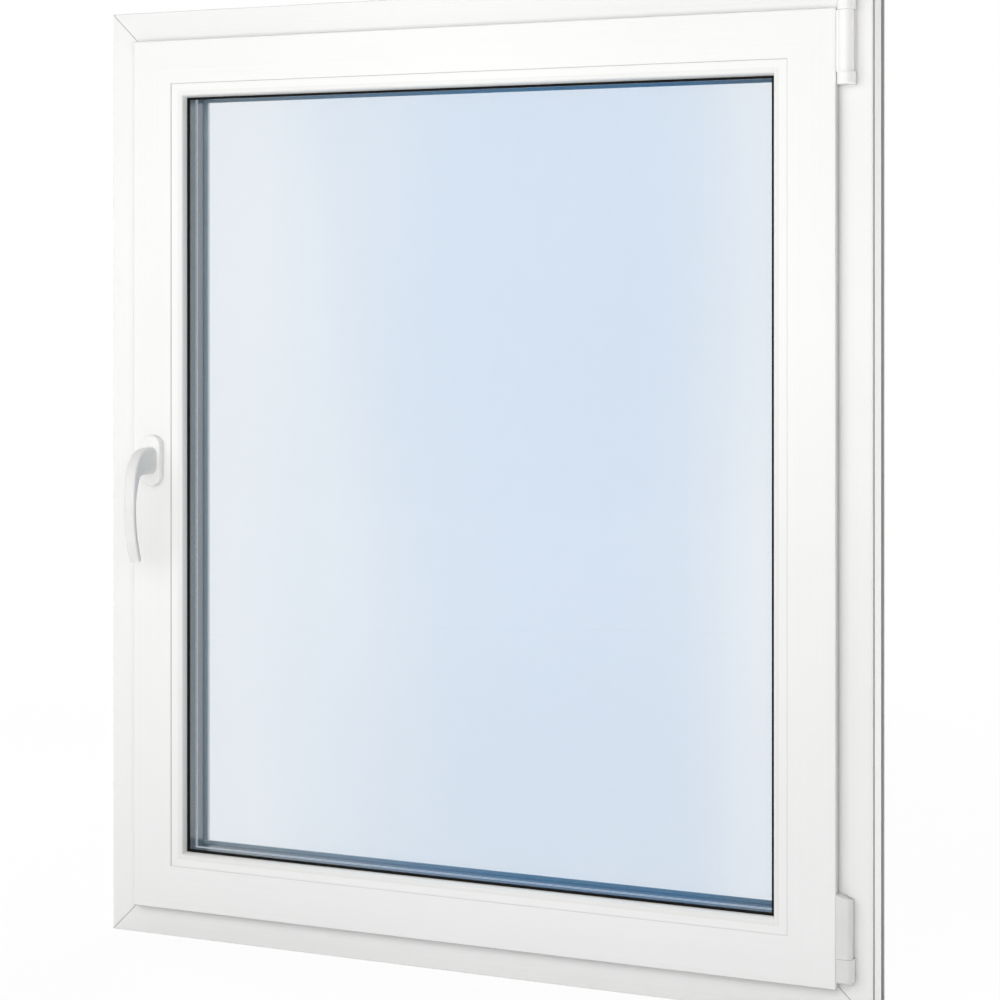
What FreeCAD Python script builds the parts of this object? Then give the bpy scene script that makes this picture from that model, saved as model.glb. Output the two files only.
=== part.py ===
import FreeCAD, Part
import math
import os
from types import SimpleNamespace

import Sketcher

# Tilt and turn window of white plastic profile, seen from the room.
# X runs along the wall, Y from the room to the weather, Z up.
# The origin is the middle of the frame's underside, halfway through its depth.
# All profiles are drawn as the bottom bar of their ring. The other three bars are the same bar turned.

SIZES = {
    # Outer frame, overall
    "frame_width": 1000.0,
    "frame_height": 1200.0,
    # Frame profile
    "frame_face": 39.0,         # what shows of the frame beside the sash, from the room
    "sash_overlap": 8.0,        # sash flange lies this far over the frame
    "frame_leg": 70.0,          # height of the weather leg
    "leg_thickness": 14.0,
    "outer_wall": 3.0,          # walls of the hollow profiles that show
    "inner_web": 1.5,           # walls between their chambers
    "seal_gap": 3.0,            # seals fill this between sash and frame
    "hardware_gap": 12.0,       # room for the fittings between frame and sash
    "drain_width": 10.0,        # channel along the foot of the weather leg
    "drain_depth": 4.0,
    "foot_lip": 4.5,            # lips of the clip grooves round the frame
    "hook_depth": 1.5,
    "clip_depth": 5.0,
    "room_clip_width": 9.0,
    "weather_clip_width": 20.0,
    # Sash profile
    "sash_proud": 15.0,         # sash stands this far into the room from the frame
    "sash_face": 56.5,          # flat face of the sash, up to the glazing bead
    "lip_thickness": 14.0,      # weather lip behind the glass
    "lip_slope": 2.0,
    "glass_rebate": 21.5,       # from rebate floor to the sight line
    "groove_axis": 13.0,        # fittings groove, from the back of the flange
    "groove_width": 16.0,
    "groove_shelf": 3.0,
    "groove_inner_width": 12.0,
    "groove_depth": 9.0,
    # Glazing bead
    "bead_face": 18.0,
    "bead_ridge": 2.5,          # ridge of the sash that the bead sits behind
    "bead_foot_width": 2.5,
    "bead_foot_depth": 3.0,
    "bead_foot_inset": 1.0,
    "bead_edge": 0.5,           # bevel along its joint with the sash
    "bead_draft": 2.4,          # lean of its inner side
    "bead_round": 4.0,
    # Glass unit and its gaskets
    "pane_thickness": 4.0,
    "cavity": 16.0,
    "pane_clearance": 5.0,      # pane edge above the rebate floor
    "spacer_height": 7.5,
    "spacer_inset": 0.3,        # spacer stays this far below the sight line
    "bead_depth": 13.0,         # sash face to glass
    "inner_gasket": 3.3,
    "inner_gasket_height": 12.0,
    "inner_gasket_show": 2.8,
    "inner_gasket_round": 1.2,
    "outer_gasket": 3.0,
    "outer_gasket_height": 10.0,
    "outer_gasket_show": 2.8,
    "seal_height": 6.0,
    "seal_inset": 1.0,
    "block_length": 100.0,
    "block_from_corner": 60.0,
    # Edges
    "frame_round": 1.5,
    "sash_round": 2.0,
    "mitre_groove": 0.5,
    # Handle
    "handle_from_edge": 71.0,   # spindle, from the frame's outer edge
    "handle_height": 618.5,     # spindle, above the underside
    "rosette_width": 27.0,
    "rosette_height": 65.5,
    "rosette_depth": 11.0,
    "rosette_corner": 13.2,
    "rosette_edge": 1.0,
    "boss_diameter": 16.0,
    "boss_depth": 8.0,
    "boss_clearance": 0.05,
    "neck_clearance": 0.3,
    "spindle_side": 7.0,
    "spindle_reach": 35.0,      # into the sash, from its face
    "spindle_hole": 12.0,
    "spindle_end_gap": 3.0,
    "lever_width": 15.5,
    "lever_round": 3.0,
    "neck_width": 18.5,
    "neck_half_height": 17.2,
    "neck_corner": 8.4,
    "flare_reach": 31.7,        # the neck narrows to the lever over this length
    "elbow_from_base": 10.6,
    "elbow_radius": 39.1,       # outer contour of the lever, three arcs
    "elbow_turn": 79.8,         # degrees from straight out, at the end of each arc
    "grip_radius": 230.0,
    "grip_turn": 96.0,
    "tip_radius": 149.0,
    "tip_turn": 114.6,
    "crook_from_base": 31.1,    # inner contour of the lever, three arcs
    "crook_radius": 5.35,
    "crook_turn": 63.8,
    "inner_grip_radius": 90.0,
    "inner_grip_turn": 95.3,
    "inner_tip_radius": 227.0,
    "inner_tip_turn": 109.6,
    # Hinges
    "hinge_from_sash": 10.6,    # pin, beside the sash edge
    "hinge_from_frame": 9.5,    # pin, in front of the frame face
    "hinge_gap": 0.3,
    "hinge_pin_diameter": 6.0,
    "bracket_radius": 10.6,     # frame part of the top hinge
    "bracket_height": 99.0,
    "bracket_end": 14.0,
    "bracket_plate": 3.0,
    "bracket_drop": 28.0,       # top of the hinge, below the frame's top
    "bracket_edge": 1.0,
    "knuckle_radius": 9.3,      # sash part of the top hinge
    "leaf_inset": 1.0,          # its leaf stays this far in front of the sash flange's back
    "pivot_width": 20.0,        # frame part of the bottom hinge
    "pivot_height": 28.0,
    "pivot_above_sill": 47.0,
    "pivot_round": 7.0,
    "pivot_foot_round": 2.5,
    "cover_width": 18.0,        # sash part of the bottom hinge
    "cover_height": 73.0,
    "cover_fall": 6.4,          # its top slopes down from the sash by this much
    "cover_round": 5.5,
    "cover_proud": 0.5,         # both stand this far in front of the sash face
    "cover_edge": 0.6,
    # Drain covers on the weather face
    "drain_cover_length": 42.0,
    "drain_cover_height": 14.0,
    "drain_cover_depth": 6.0,
    "drain_cover_from_end": 170.0,
    "drain_cover_above": 16.0,
    "drain_slot_length": 28.0,
    "drain_slot_height": 5.0,
    "drain_slot_depth": 10.0,
    "drain_cover_wall": 1.5,
    "drain_cover_edge": 2.0,
}


class Size:
    """A length that knows its value and its formula in the sheet."""

    def __init__(self, value, formula):
        self.value = value
        self.formula = formula

    def joined(self, other, sign, value):
        return Size(value, f"({self.formula} {sign} {size(other).formula})")

    def __add__(self, other):
        return self.joined(other, "+", self.value + size(other).value)

    def __sub__(self, other):
        return self.joined(other, "-", self.value - size(other).value)

    def __mul__(self, other):
        return self.joined(other, "*", self.value * size(other).value)

    def __truediv__(self, other):
        return self.joined(other, "/", self.value / size(other).value)

    def __radd__(self, other):
        return size(other) + self

    def __rsub__(self, other):
        return size(other) - self

    def __rmul__(self, other):
        return size(other) * self

    def __neg__(self):
        return size(-1) * self


def size(number):
    """The number as a Size, unless it is one."""
    return number if isinstance(number, Size) else Size(float(number), f"({float(number)})")


def sine(degrees):
    return Size(math.sin(math.radians(degrees.value)), f"sin({degrees.formula})")


def cosine(degrees):
    return Size(math.cos(math.radians(degrees.value)), f"cos({degrees.formula})")


doc = FreeCAD.newDocument("tilt_and_turn_window")
sheet = doc.addObject("Spreadsheet::Sheet", "sizes")
for row, (alias, number) in enumerate(SIZES.items(), start=1):
    sheet.set(f"A{row}", alias)
    sheet.set(f"B{row}", str(number))
    sheet.setAlias(f"B{row}", alias)
doc.recompute()
s = SimpleNamespace(**{alias: Size(number, f"sizes.{alias}") for alias, number in SIZES.items()})

# Places through the depth, in Y
glass_thickness = 3 * s.pane_thickness + 2 * s.cavity
sash_depth = s.bead_depth + glass_thickness + s.outer_gasket + s.lip_thickness
frame_depth = sash_depth - s.sash_proud + s.seal_gap + s.leg_thickness
room_face = -frame_depth / 2
weather_face = frame_depth / 2
leg_inside = weather_face - s.leg_thickness
sash_front = room_face - s.sash_proud
flange_back = room_face - s.seal_gap
sash_back = sash_front + sash_depth
glass_front = sash_front + s.bead_depth
glass_back = glass_front + glass_thickness
lip_front = glass_back + s.outer_gasket
bead_back = glass_front - s.inner_gasket

# Heights from the outer edge of the frame towards the glass
frame_floor = s.frame_face + s.sash_overlap
sash_floor = frame_floor + s.hardware_gap
bead_line = s.frame_face + s.sash_face
sight_line = bead_line + s.bead_face
rebate_floor = sight_line - s.glass_rebate
pane_edge = rebate_floor + s.pane_clearance

half_width = s.frame_width / 2
half_height = s.frame_height / 2


def origin_plane(body, role):
    """One of the body's own origin planes."""
    return next(plane for plane in body.Origin.OriginFeatures if plane.Role == role)


def make_body(label):
    body = doc.addObject("PartDesign::Body", label)
    body.Label = label
    return body


def make_sketch(body, role, offset=None):
    """An empty sketch on one of the body's planes, moved along its normal by offset."""
    sketch = body.newObject("Sketcher::SketchObject", "sketch")
    sketch.AttachmentSupport = [(origin_plane(body, role), "")]
    sketch.MapMode = "FlatFace"
    if offset is not None:
        sketch.setExpression("AttachmentOffset.Base.z", offset.formula)
    return sketch


def pin_point(sketch, edge, end, x, y):
    """Ties the end of a sketch line to its place, measured from the sketch origin."""
    for kind, distance in (("DistanceX", size(x)), ("DistanceY", size(y))):
        number = sketch.addConstraint(Sketcher.Constraint(kind, -1, 1, edge, end, distance.value))
        sketch.setExpression(f"Constraints[{number}]", distance.formula)


def arc_between(start, stop, radius):
    """The short arc from start to stop, its centre on the left where radius is positive."""
    along = stop - start
    left = FreeCAD.Vector(-along.y, along.x, 0).normalize()
    rise = math.sqrt(radius ** 2 - (along.Length / 2) ** 2)
    centre = (start + stop) / 2 + left * math.copysign(rise, radius)
    angles = [math.atan2(p.y - centre.y, p.x - centre.x) for p in (start, stop)]
    if radius < 0:
        angles.reverse()
    circle = Part.Circle(centre, FreeCAD.Vector(0, 0, 1), abs(radius))
    return Part.ArcOfCircle(circle, angles[0], angles[1])


def add_loop(sketch, points):
    """A closed loop through the points. A third value makes the edge after a point an arc."""
    first = sketch.GeometryCount
    count = len(points)
    places = [FreeCAD.Vector(size(p[0]).value, size(p[1]).value, 0) for p in points]
    ends = []
    for i, point in enumerate(points):
        start, stop = places[i], places[(i + 1) % count]
        if len(point) == 2:
            sketch.addGeometry(Part.LineSegment(start, stop))
            ends.append((1, 2))
        else:
            sketch.addGeometry(arc_between(start, stop, point[2].value))
            ends.append((1, 2) if point[2].value > 0 else (2, 1))
    for i in range(count):
        after = (i + 1) % count
        sketch.addConstraint(Sketcher.Constraint(
            "Coincident", first + i, ends[i][1], first + after, ends[after][0]))
    for i, point in enumerate(points):
        pin_point(sketch, first + i, ends[i][0], point[0], point[1])
        if len(point) == 3:
            set_radius(sketch, first + i, point[2] * math.copysign(1, point[2].value))


def set_radius(sketch, edge, radius):
    number = sketch.addConstraint(Sketcher.Constraint("Radius", edge, radius.value))
    sketch.setExpression(f"Constraints[{number}]", radius.formula)


def add_circle(sketch, x, y, radius):
    circle = Part.Circle(
        FreeCAD.Vector(size(x).value, size(y).value, 0), FreeCAD.Vector(0, 0, 1), radius.value)
    edge = sketch.addGeometry(circle)
    set_radius(sketch, edge, radius)
    pin_point(sketch, edge, 3, x, y)


def rectangle(x_low, y_low, x_high, y_high):
    return [(x_low, y_low), (x_high, y_low), (x_high, y_high), (x_low, y_high)]


def pad(body, sketch, length, both_ways=False, reverse=False):
    feature = body.newObject("PartDesign::Pad", "pad")
    feature.Profile = sketch
    feature.setExpression("Length", length.formula)
    feature.Midplane = both_ways
    feature.Reversed = reverse
    return feature


def pocket(body, sketch, length=None, both_ways=False, reverse=False):
    """Cuts the sketch out of the body, right through where no length is given."""
    feature = body.newObject("PartDesign::Pocket", "pocket")
    feature.Profile = sketch
    if length is None:
        feature.Type = "ThroughAll"
    else:
        feature.setExpression("Length", length.formula)
    feature.Midplane = both_ways
    feature.Reversed = reverse
    return feature


def edges_where(feature, test):
    """Names of the feature's edges whose two ends and middle pass the test."""
    doc.recompute()
    found = []
    for number, edge in enumerate(feature.Shape.Edges, start=1):
        middle = edge.valueAt((edge.FirstParameter + edge.LastParameter) / 2)
        if all(test(point) for point in [middle] + [v.Point for v in edge.Vertexes]):
            found.append(f"Edge{number}")
    return found


def round_edges(body, feature, test, radius, kind="Fillet"):
    """Rounds, or chamfers, the edges that pass the test."""
    names = edges_where(feature, test)
    rounded = body.newObject(f"PartDesign::{kind}", kind.lower())
    rounded.Base = (feature, names)
    rounded.setExpression("Radius" if kind == "Fillet" else "Size", radius.formula)
    return rounded


def near(a, b):
    return abs(a - size(b).value) < 0.01


def place(body, x=0, y=0, z=0, turn=0):
    """Puts the body at a point, turned about the Y axis by whole degrees."""
    body.Placement = FreeCAD.Placement(
        FreeCAD.Vector(size(x).value, size(y).value, size(z).value),
        FreeCAD.Rotation(FreeCAD.Vector(0, 1, 0), turn))
    for axis, distance in (("x", x), ("y", y), ("z", z)):
        body.setExpression(f"Placement.Base.{axis}", size(distance).formula)


SIDES = {
    "bottom": (s.frame_width, size(0), size(0), 0),
    "top": (s.frame_width, size(0), s.frame_height, 180),
    "left": (s.frame_height, -half_width, half_height, 90),
    "right": (s.frame_height, half_width, half_height, -90),
}


def profile_bar(label, side, section, chambers, reach, rounds=(), groove_face=None):
    """One mitred bar of a ring: section is drawn in depth and height from the frame's outer edge."""
    length, x, z, turn = SIDES[side]
    body = make_body(label)
    sketch = make_sketch(body, "YZ_Plane")
    add_loop(sketch, section)
    for chamber in chambers:
        add_loop(sketch, rectangle(*chamber))
    tip = pad(body, sketch, length, both_ways=True)
    for depth, height, radius in rounds:
        tip = round_edges(
            body, tip, lambda p, y=depth, z=height: near(p.y, y) and near(p.z, z), radius)
    mitres = make_sketch(body, "XZ_Plane")
    for end in (-1, 1):
        add_loop(mitres, [
            (end * length / 2, size(0)),
            (end * (length / 2 - reach), reach),
            (end * length / 2, reach)])
    pocket(body, mitres, both_ways=True)
    if groove_face is not None:
        grooves = make_sketch(body, "XZ_Plane", -groove_face)
        for end in (-1, 1):
            corner = length / 2
            add_loop(grooves, [
                (end * corner, size(0)),
                (end * (corner - reach), reach),
                (end * (corner - reach - s.mitre_groove), reach),
                (end * (corner - s.mitre_groove), size(0))])
        pocket(body, grooves, s.mitre_groove)
    place(body, x, 0, z, turn)
    return body


# Outer frame
hook = s.foot_lip - s.hook_depth
room_groove_end = room_face + s.foot_lip + s.room_clip_width
weather_groove_start = weather_face - s.foot_lip - s.weather_clip_width
frame_section = [
    (room_face, size(0)),
    (room_face, frame_floor),
    (leg_inside - s.drain_width, frame_floor),
    (leg_inside - s.drain_width, frame_floor - s.drain_depth),
    (leg_inside, frame_floor - s.drain_depth),
    (leg_inside, s.frame_leg),
    (weather_face, s.frame_leg),
    (weather_face, size(0)),
    (weather_face - s.foot_lip, size(0)),
    (weather_face - s.foot_lip, s.hook_depth),
    (weather_face - hook, s.hook_depth),
    (weather_face - hook, s.clip_depth),
    (weather_groove_start - s.hook_depth, s.clip_depth),
    (weather_groove_start - s.hook_depth, s.hook_depth),
    (weather_groove_start, s.hook_depth),
    (weather_groove_start, size(0)),
    (room_groove_end, size(0)),
    (room_groove_end, s.hook_depth),
    (room_groove_end + s.hook_depth, s.hook_depth),
    (room_groove_end + s.hook_depth, s.clip_depth),
    (room_face + hook, s.clip_depth),
    (room_face + hook, s.hook_depth),
    (room_face + s.foot_lip, s.hook_depth),
    (room_face + s.foot_lip, size(0)),
]
chamber_floor = s.clip_depth + s.outer_wall
channel_floor = frame_floor - s.drain_depth
steel_front = room_groove_end + s.hook_depth + s.inner_web
steel_back = weather_groove_start - s.hook_depth - s.inner_web
leg_chamber_top = channel_floor - s.outer_wall
frame_chambers = [
    (room_face + s.outer_wall, chamber_floor,
     steel_front - s.inner_web, frame_floor - s.outer_wall),
    (steel_front, s.outer_wall, steel_back, frame_floor - s.outer_wall),
    (steel_back + s.inner_web, chamber_floor, leg_inside, leg_chamber_top),
    (leg_inside + s.inner_web, chamber_floor, weather_face - s.outer_wall, leg_chamber_top),
    (leg_inside + s.outer_wall, leg_chamber_top + s.inner_web,
     weather_face - s.outer_wall, s.frame_leg - s.outer_wall),
]
frame_rounds = [
    (room_face, size(0), s.frame_round),
    (weather_face, size(0), s.frame_round),
    (weather_face, s.frame_leg, s.sash_round),
    (leg_inside, s.frame_leg, s.frame_round),
]
frame_bars = {}
for label, side in (("frame_sill", "bottom"), ("frame_head", "top"),
                    ("frame_left_jamb", "left"), ("frame_right_jamb", "right")):
    frame_bars[side] = profile_bar(
        label, side, frame_section, frame_chambers, s.frame_leg, frame_rounds, room_face)

# Drain slots in the weather face of the sill
sill = frame_bars["bottom"]
slots = make_sketch(sill, "XZ_Plane", -weather_face)
slot_middle = half_width - s.drain_cover_from_end
slot_low = s.drain_cover_above + (s.drain_cover_height - s.drain_slot_height) / 2
for end in (-1, 1):
    add_loop(slots, rectangle(
        end * slot_middle - s.drain_slot_length / 2, slot_low,
        end * slot_middle + s.drain_slot_length / 2, slot_low + s.drain_slot_height))
pocket(sill, slots, s.drain_slot_depth, reverse=True)

# Sash
bead_seat = sash_front + s.bead_ridge
foot_front = bead_seat + s.bead_foot_inset
foot_back = foot_front + s.bead_foot_width
groove_middle = flange_back + s.groove_axis
sash_section = [
    (sash_front, s.frame_face),
    (sash_front, bead_line),
    (bead_seat, bead_line),
    (bead_seat, rebate_floor),
    (foot_front, rebate_floor),
    (foot_front, rebate_floor - s.bead_foot_depth),
    (foot_back, rebate_floor - s.bead_foot_depth),
    (foot_back, rebate_floor),
    (lip_front, rebate_floor),
    (lip_front, sight_line),
    (sash_back, sight_line - s.lip_slope),
    (sash_back, sash_floor),
    (groove_middle + s.groove_width / 2, sash_floor),
    (groove_middle + s.groove_width / 2, sash_floor + s.groove_shelf),
    (groove_middle + s.groove_inner_width / 2, sash_floor + s.groove_shelf),
    (groove_middle + s.groove_inner_width / 2, sash_floor + s.groove_depth),
    (groove_middle - s.groove_inner_width / 2, sash_floor + s.groove_depth),
    (groove_middle - s.groove_inner_width / 2, sash_floor + s.groove_shelf),
    (groove_middle - s.groove_width / 2, sash_floor + s.groove_shelf),
    (groove_middle - s.groove_width / 2, sash_floor),
    (flange_back, sash_floor),
    (flange_back, s.frame_face),
]
flange_chamber_back = flange_back - s.outer_wall
groove_back = groove_middle + s.groove_width / 2
steel_end = groove_back + s.outer_wall + s.hardware_gap
chamber_top = rebate_floor - s.outer_wall
steel_floor = sash_floor + s.groove_depth + s.outer_wall
sash_chambers = [
    (sash_front + s.outer_wall, s.frame_face + s.outer_wall,
     flange_chamber_back, chamber_top - s.bead_foot_depth),
    (flange_chamber_back + s.inner_web, steel_floor, steel_end, chamber_top),
    (groove_back + s.outer_wall, sash_floor + s.outer_wall, steel_end, steel_floor - s.inner_web),
    (steel_end + s.inner_web, sash_floor + s.outer_wall, lip_front - s.inner_web, chamber_top),
    (lip_front, sash_floor + s.outer_wall, sash_back - s.outer_wall, chamber_top),
    (lip_front + s.outer_wall, chamber_top + s.inner_web,
     sash_back - s.outer_wall, sight_line - s.lip_slope - s.outer_wall),
]
sash_rounds = [
    (sash_front, s.frame_face, s.sash_round),
    (sash_back, sight_line - s.lip_slope, s.sash_round),
]
sash_bars = {}
for label, side in (("sash_bottom_rail", "bottom"), ("sash_top_rail", "top"),
                    ("sash_handle_stile", "left"), ("sash_hinge_stile", "right")):
    sash_bars[side] = profile_bar(
        label, side, sash_section, sash_chambers, sight_line, sash_rounds)

# Spindle hole in the handle stile, whose own X runs down and own Z to the right
stile = sash_bars["left"]
spindle_hole = make_sketch(stile, "XZ_Plane", -sash_front)
add_circle(spindle_hole, half_height - s.handle_height, s.handle_from_edge, s.spindle_hole / 2)
pocket(stile, spindle_hole, s.spindle_reach + s.spindle_end_gap)

# Glazing beads, clipped into the sash
bead_section = [
    (sash_front, bead_line + s.bead_edge),
    (sash_front, sight_line - s.bead_draft),
    (bead_back, sight_line),
    (bead_back, rebate_floor),
    (foot_back, rebate_floor),
    (foot_back, rebate_floor - s.bead_foot_depth),
    (foot_front, rebate_floor - s.bead_foot_depth),
    (foot_front, rebate_floor),
    (bead_seat, rebate_floor),
    (bead_seat, bead_line),
    (sash_front + s.bead_edge, bead_line),
]
bead_rounds = [(sash_front, sight_line - s.bead_draft, s.bead_round)]
for label, side in (("bead_bottom", "bottom"), ("bead_top", "top"),
                    ("bead_left", "left"), ("bead_right", "right")):
    profile_bar(label, side, bead_section, (), sight_line, bead_rounds)


def upright(inset):
    """Corners of a rectangle set in from the frame's outline by inset, in the wall's plane."""
    return rectangle(inset - half_width, inset, half_width - inset, s.frame_height - inset)


def ring(label, outer, inner, front, thickness, round_at=None, radius=None):
    """A flat ring in the wall's plane, from front towards the weather."""
    body = make_body(label)
    sketch = make_sketch(body, "XZ_Plane", -front)
    add_loop(sketch, upright(outer))
    add_loop(sketch, upright(inner))
    tip = pad(body, sketch, thickness, reverse=True)
    if radius is not None:
        inner_x = (half_width - inner).value
        low, high = inner.value, (s.frame_height - inner).value

        def on_inner_edge(p):
            on_side = near(abs(p.x), inner_x) and low - 0.01 < p.z < high + 0.01
            on_end = (near(p.z, low) or near(p.z, high)) and abs(p.x) < inner_x + 0.01
            return near(p.y, round_at) and (on_side or on_end)

        round_edges(body, tip, on_inner_edge, radius)
    return body


def sheet_of_glass(label, front):
    body = make_body(label)
    sketch = make_sketch(body, "XZ_Plane", -front)
    add_loop(sketch, upright(pane_edge))
    pad(body, sketch, s.pane_thickness, reverse=True)
    return body


# Triple glass unit
pitch = s.pane_thickness + s.cavity
spacer_inner = sight_line - s.spacer_inset
for label, step in (("pane_inside", 0), ("pane_middle", 1), ("pane_outside", 2)):
    sheet_of_glass(label, glass_front + step * pitch)
for label, step in (("spacer_inside", 0), ("spacer_outside", 1)):
    ring(label, spacer_inner - s.spacer_height, spacer_inner,
         glass_front + s.pane_thickness + step * pitch, s.cavity)

# Gaskets and seals
ring("glazing_gasket_inside",
     sight_line - s.inner_gasket_height, sight_line + s.inner_gasket_show,
     bead_back, s.inner_gasket, bead_back, s.inner_gasket_round)
ring("glazing_gasket_outside",
     sight_line - s.outer_gasket_height, sight_line + s.outer_gasket_show,
     glass_back, s.outer_gasket)
ring("sash_seal",
     s.frame_face + s.seal_inset, s.frame_face + s.seal_inset + s.seal_height,
     flange_back, s.seal_gap)
ring("frame_seal",
     s.frame_leg - s.seal_inset - s.seal_height, s.frame_leg - s.seal_inset,
     sash_back, s.seal_gap)

# Blocks that carry the glass in the sash
block_out = half_width - pane_edge - s.block_from_corner
for label, end, low in (
        ("glazing_block_bottom_left", -1, rebate_floor),
        ("glazing_block_bottom_right", 1, rebate_floor),
        ("glazing_block_top_left", -1, s.frame_height - pane_edge),
        ("glazing_block_top_right", 1, s.frame_height - pane_edge)):
    block = make_body(label)
    block_sketch = make_sketch(block, "XZ_Plane", -glass_front)
    add_loop(block_sketch, rectangle(
        end * (block_out - s.block_length), low, end * block_out, low + s.pane_clearance))
    pad(block, block_sketch, glass_thickness, reverse=True)

# Handle: rosette fixed to the sash, lever and spindle turning in it
handle_x = s.handle_from_edge - half_width
rosette_front = sash_front - s.rosette_depth
rosette = make_body("handle_rosette")
rosette_sketch = make_sketch(rosette, "XZ_Plane", -sash_front)
add_loop(rosette_sketch, rectangle(
    -s.rosette_width / 2, -s.rosette_height / 2, s.rosette_width / 2, s.rosette_height / 2))
tip = pad(rosette, rosette_sketch, s.rosette_depth)
corner_x = (s.rosette_width / 2).value
corner_z = (s.rosette_height / 2).value
tip = round_edges(
    rosette, tip, lambda p: near(abs(p.x), corner_x) and near(abs(p.z), corner_z),
    s.rosette_corner)
round_edges(
    rosette, tip, lambda p: near(p.y, rosette_front), s.rosette_edge, kind="Chamfer")
boss_hole = make_sketch(rosette, "XZ_Plane", -sash_front)
add_circle(boss_hole, 0, 0, s.boss_diameter / 2 + s.boss_clearance)
pocket(rosette, boss_hole, both_ways=True)
place(rosette, handle_x, 0, s.handle_height)


def arc_chain(point, arcs):
    """The point and those after each arc, whose direction turns from straight out to down."""
    chain = []
    before = size(0)
    y, z = point
    for radius, turn in arcs:
        chain.append((y, z, radius))
        y = y - radius * (sine(turn) - sine(before))
        z = z - radius * (cosine(before) - cosine(turn))
        before = turn
    return chain, (y, z)


# The lever is one outline seen from the side, cut to another seen from above
lever = make_body("lever_blank")
neck_base = rosette_front - s.neck_clearance
outer_arcs, outer_tip = arc_chain(
    (neck_base - s.elbow_from_base, s.neck_half_height),
    [(s.elbow_radius, s.elbow_turn), (s.grip_radius, s.grip_turn), (s.tip_radius, s.tip_turn)])
inner_arcs, inner_tip = arc_chain(
    (neck_base - s.crook_from_base, -s.neck_half_height),
    [(s.crook_radius, s.crook_turn), (s.inner_grip_radius, s.inner_grip_turn),
     (s.inner_tip_radius, s.inner_tip_turn)])
inner_points = [(y, z) for y, z, radius in inner_arcs] + [inner_tip]
inner_back = [
    (*inner_points[i], -inner_arcs[i - 1][2]) for i in range(len(inner_arcs), 0, -1)]
inner_back.append(inner_points[0])
lever_side = make_sketch(lever, "YZ_Plane")
add_loop(lever_side, [
    (neck_base, s.neck_half_height), *outer_arcs, outer_tip, *inner_back,
    (neck_base, -s.neck_half_height)])
pad(lever, lever_side, s.neck_width, both_ways=True)
flare_end = neck_base - s.flare_reach
half_lever = s.lever_width / 2
half_neck = s.neck_width / 2
flare = half_neck - half_lever
flare_radius = (s.flare_reach * s.flare_reach + flare * flare) / (2 * flare)
lever_plan = make_sketch(lever, "XY_Plane")
beyond = flare_end - s.elbow_radius
for side in (-1, 1):
    add_loop(lever_plan, [
        (side * half_lever, beyond),
        (side * half_lever, flare_end, -side * flare_radius),
        (side * half_neck, neck_base),
        (side * (half_neck + flare), neck_base),
        (side * (half_neck + flare), beyond)])
pocket(lever, lever_plan, both_ways=True)
boss_sketch = make_sketch(lever, "XZ_Plane", -neck_base)
add_circle(boss_sketch, 0, 0, s.boss_diameter / 2)
pad(lever, boss_sketch, s.boss_depth + s.neck_clearance, reverse=True)
place(lever, handle_x, 0, s.handle_height)
doc.recompute()


def edge_points(edge):
    """Start, middle and end of an edge of the lever, measured from the spindle."""
    spindle_line = FreeCAD.Vector(handle_x.value, 0, s.handle_height.value)
    first, last = edge.FirstParameter, edge.LastParameter
    return [edge.valueAt(p) - spindle_line for p in (first, (first + last) / 2, last)]


def is_long_edge(edge):
    """Whether the edge runs along the lever, on either of its sides."""
    points = edge_points(edge)
    if min(abs(p.x) for p in points) < half_lever.value - 0.01:
        return False
    if max(p.y for p in points) > neck_base.value + 0.01:
        return False
    across = [all(near(p.y, y) for p in points) for y in (neck_base, flare_end)]
    tip_low = max(outer_tip[1].value, inner_tip[1].value) + 0.01
    return not any(across) and max(p.z for p in points) > tip_low


def neck_rounding(point):
    """Radius of the lever's edges, large at the neck's base and small past the flare."""
    share = min((neck_base.value - point.y) / s.flare_reach.value, 1)
    return s.neck_corner.value + (s.lever_round.value - s.neck_corner.value) * share


def along_lever(point):
    """Grows along both contours of the lever, from its base to its tip."""
    return -(point.y + 3 * point.z)


def lever_fillets(shape):
    """Number and two radii of each long edge, the radii in the direction of its chain's first edge."""
    long_edges = {i: edge for i, edge in enumerate(shape.Edges, start=1) if is_long_edge(edge)}
    fillets = []
    for chain in Part.sortEdges(list(long_edges.values())):
        middles = [link.CenterOfMass for link in chain]
        chain = [i for i, edge in long_edges.items()
                 if min(edge.CenterOfMass.distanceToPoint(m) for m in middles) < 0.01]
        starts_and_ends = [edge_points(shape.Edges[number - 1])[::2] for number in chain]
        to_tip = along_lever(starts_and_ends[0][0]) < along_lever(starts_and_ends[0][1])
        for number, ends in zip(chain, starts_and_ends):
            ends.sort(key=along_lever, reverse=not to_tip)
            fillets.append((number, neck_rounding(ends[0]), neck_rounding(ends[1])))
    return sorted(fillets)


handle = doc.addObject("Part::Fillet", "handle_lever")
handle.Label = "handle_lever"
handle.Base = lever
handle.Edges = lever_fillets(lever.Shape)

spindle = make_body("handle_spindle")
spindle_sketch = make_sketch(spindle, "XZ_Plane", -(rosette_front + s.boss_depth))
half_spindle = s.spindle_side / 2
add_loop(spindle_sketch, rectangle(-half_spindle, -half_spindle, half_spindle, half_spindle))
pad(spindle, spindle_sketch, s.spindle_reach + s.rosette_depth - s.boss_depth, reverse=True)
place(spindle, handle_x, 0, s.handle_height)

# Hinges, on one upright pin line beside the sash
hinge_x = half_width - s.frame_face + s.hinge_from_sash
hinge_y = room_face - s.hinge_from_frame
pin_radius = s.hinge_pin_diameter / 2
sash_edge = -s.hinge_from_sash
frame_side = s.hinge_from_frame


def prism(body, points, low, height):
    """An upright prism whose plan is measured from the pin line."""
    sketch = make_sketch(body, "XY_Plane", low)
    add_loop(sketch, points)
    return pad(body, sketch, height)


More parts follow.
